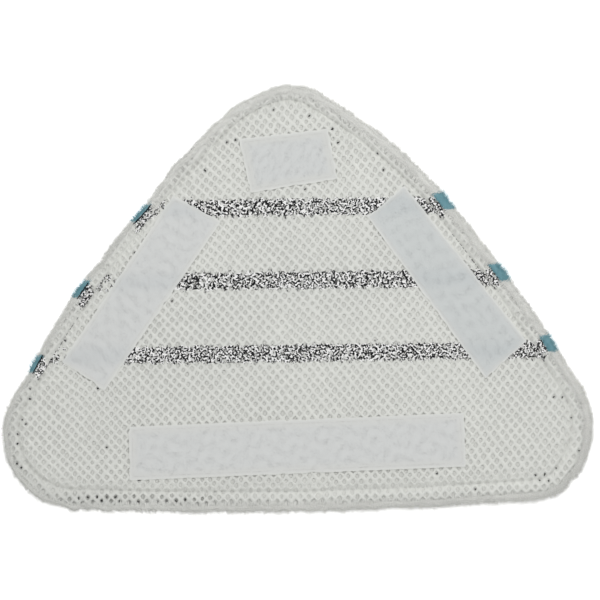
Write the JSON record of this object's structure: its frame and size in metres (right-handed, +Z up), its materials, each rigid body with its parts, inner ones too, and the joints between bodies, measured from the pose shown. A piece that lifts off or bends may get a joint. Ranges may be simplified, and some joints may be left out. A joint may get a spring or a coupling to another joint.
{
  "type": "steam mop pad",
  "caption": "Triangular washable steam mop pad: white microfibre pile cloth with teal scrub stripes, mesh back with sewn-on loop patches, turned and topstitched hem.",
  "frame": {"origin": "centre of the pad's box, on the surface that the pile rests on", "axes": "+X across the wide end, +Y towards the narrow tip, +Z up through the mesh side"},
  "size_m": [0.32, 0.233, 0.0087],
  "materials": {
    "white_pile": "deep soft microfibre pile, off-white, matt",
    "teal_pile": "coarser scrubbing pile, grey teal, matt",
    "ground_knit": "fine knitted ground cloth, off-white, matt",
    "grey_yarn": "dark grey yarn loops knitted into the ground cloth",
    "white_mesh": "warp-knit polyester mesh with small diamond holes, off-white",
    "loop_tape": "brushed nylon loop tape, cool white, soft sheen",
    "sewing_thread": "white polyester sewing thread"
  },
  "bodies": {
    "root": {"tip_pile": "white_pile", "scrub_stripe_tip": "teal_pile", "upper_pile": "white_pile", "scrub_stripe_middle": "teal_pile", "lower_pile": "white_pile", "scrub_stripe_base": "teal_pile", "base_pile": "white_pile", "pile_ground_cloth": "ground_knit", "stripe_backing_tip": "grey_yarn", "stripe_backing_middle": "grey_yarn", "stripe_backing_base": "grey_yarn", "joining_seam_thread": "sewing_thread", "mesh_back": "white_mesh", "topstitch_needle_thread": "sewing_thread", "topstitch_bobbin_thread": "sewing_thread", "tip_loop_patch": "loop_tape", "left_loop_patch": "loop_tape", "right_loop_patch": "loop_tape", "base_loop_patch": "loop_tape", "tip_patch_stitching": "sewing_thread", "left_patch_stitching": "sewing_thread", "right_patch_stitching": "sewing_thread", "base_patch_stitching": "sewing_thread"}
  },
  "joints": []
}
